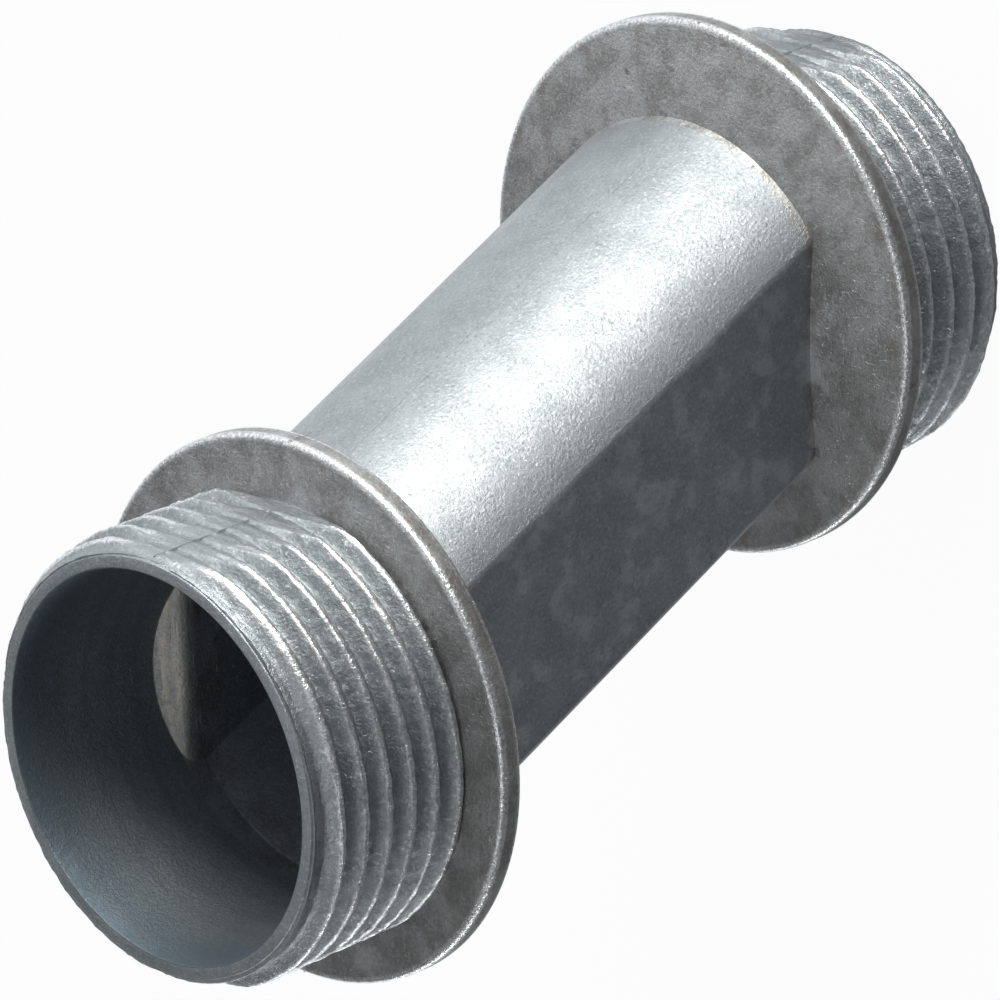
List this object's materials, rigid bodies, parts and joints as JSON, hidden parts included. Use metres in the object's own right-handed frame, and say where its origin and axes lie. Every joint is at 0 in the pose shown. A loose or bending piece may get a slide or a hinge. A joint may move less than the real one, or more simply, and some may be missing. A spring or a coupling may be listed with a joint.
{
  "type": "offset nipple",
  "caption": "Cast conduit fitting: two short threaded ends on parallel axes, joined by a slanted flat-sided tube between round collars.",
  "frame": {"origin": "centre of the lower thread's end face, which the fitting stands on", "axes": "+Z along both threads' axes, from the lower end to the upper; +X from the lower thread's axis towards the upper one; the die's parting plane is Y = 0"},
  "size_m": [0.0588, 0.0392, 0.0689],
  "materials": {
    "die_cast_zinc": "raw die-cast zinc, satin, a little stained and worn bright on its edges"
  },
  "bodies": {
    "root": {"nipple_casting": "die_cast_zinc"}
  },
  "joints": []
}
